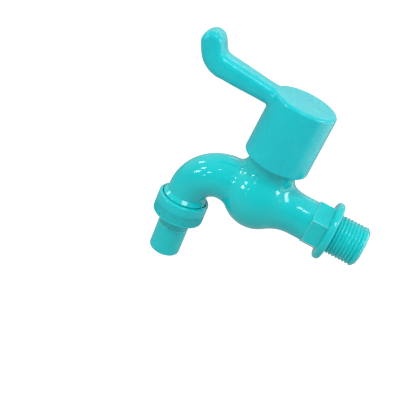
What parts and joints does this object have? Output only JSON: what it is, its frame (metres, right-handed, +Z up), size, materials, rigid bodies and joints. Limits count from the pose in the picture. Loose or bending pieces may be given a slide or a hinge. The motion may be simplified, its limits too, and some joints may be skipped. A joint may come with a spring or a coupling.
{
  "type": "plastic bib tap",
  "caption": "Wall-mounted plastic bib tap with a quarter-turn lever handle, a curved spout and a screwed-on hose nozzle.",
  "frame": {"origin": "centre of the wall flange's sealing face, on the axis of the inlet thread", "axes": "+X along the inlet thread into the wall, +Z up along the handle's axis, the spout and the lever reach along -X"},
  "size_m": [0.115, 0.0356, 0.1195],
  "materials": {
    "body_plastic": "high gloss moulded turquoise",
    "handle_plastic": "satin moulded turquoise",
    "nut_plastic": "semi-gloss moulded turquoise",
    "nozzle_plastic": "semi-gloss moulded turquoise",
    "seal_rubber": "matte",
    "cartridge_plastic": "natural acetal",
    "stem_plastic": "natural acetal",
    "washer_plastic": "low-friction polymer",
    "spring_steel": "stainless spring wire",
    "disc_ceramic": "lapped ceramic"
  },
  "bodies": {
    "tap": {"tap_body": "body_plastic", "cartridge_housing": "cartridge_plastic", "housing_o_ring": "seal_rubber", "seat_seal": "seal_rubber", "fixed_disc": "disc_ceramic"},
    "handle": {"handle": "handle_plastic", "stem": "stem_plastic", "moving_disc": "disc_ceramic", "thrust_washer": "washer_plastic", "stem_o_ring_lower": "seal_rubber", "stem_o_ring_upper": "seal_rubber", "stem_clip": "spring_steel"},
    "nozzle": {"hose_nozzle": "nozzle_plastic", "nozzle_washer": "seal_rubber"},
    "nut": {"spout_nut": "nut_plastic"}
  },
  "joints": [
    {"name": "handle_turn", "type": "hinge", "parent": "tap", "child": "handle", "pos_m": [-0.0412, 0, 0], "axis": [0, 0, 1], "range_deg": [0, 90]},
    {"name": "nozzle_drop", "type": "slide", "parent": "tap", "child": "nozzle", "axis": [0.0523, 0, -0.9986], "range_m": [0, 0.006]},
    {"name": "nut_spin", "type": "hinge", "parent": "nozzle", "child": "nut", "pos_m": [-0.0739, 0, -0.0214], "axis": [0.0523, 0, -0.9986], "range_deg": [0, 1190]}
  ],
  "couplings": [
    {"joint": "nozzle_drop", "follows": "nut_spin", "m_per_rad": 0.00028871}
  ]
}
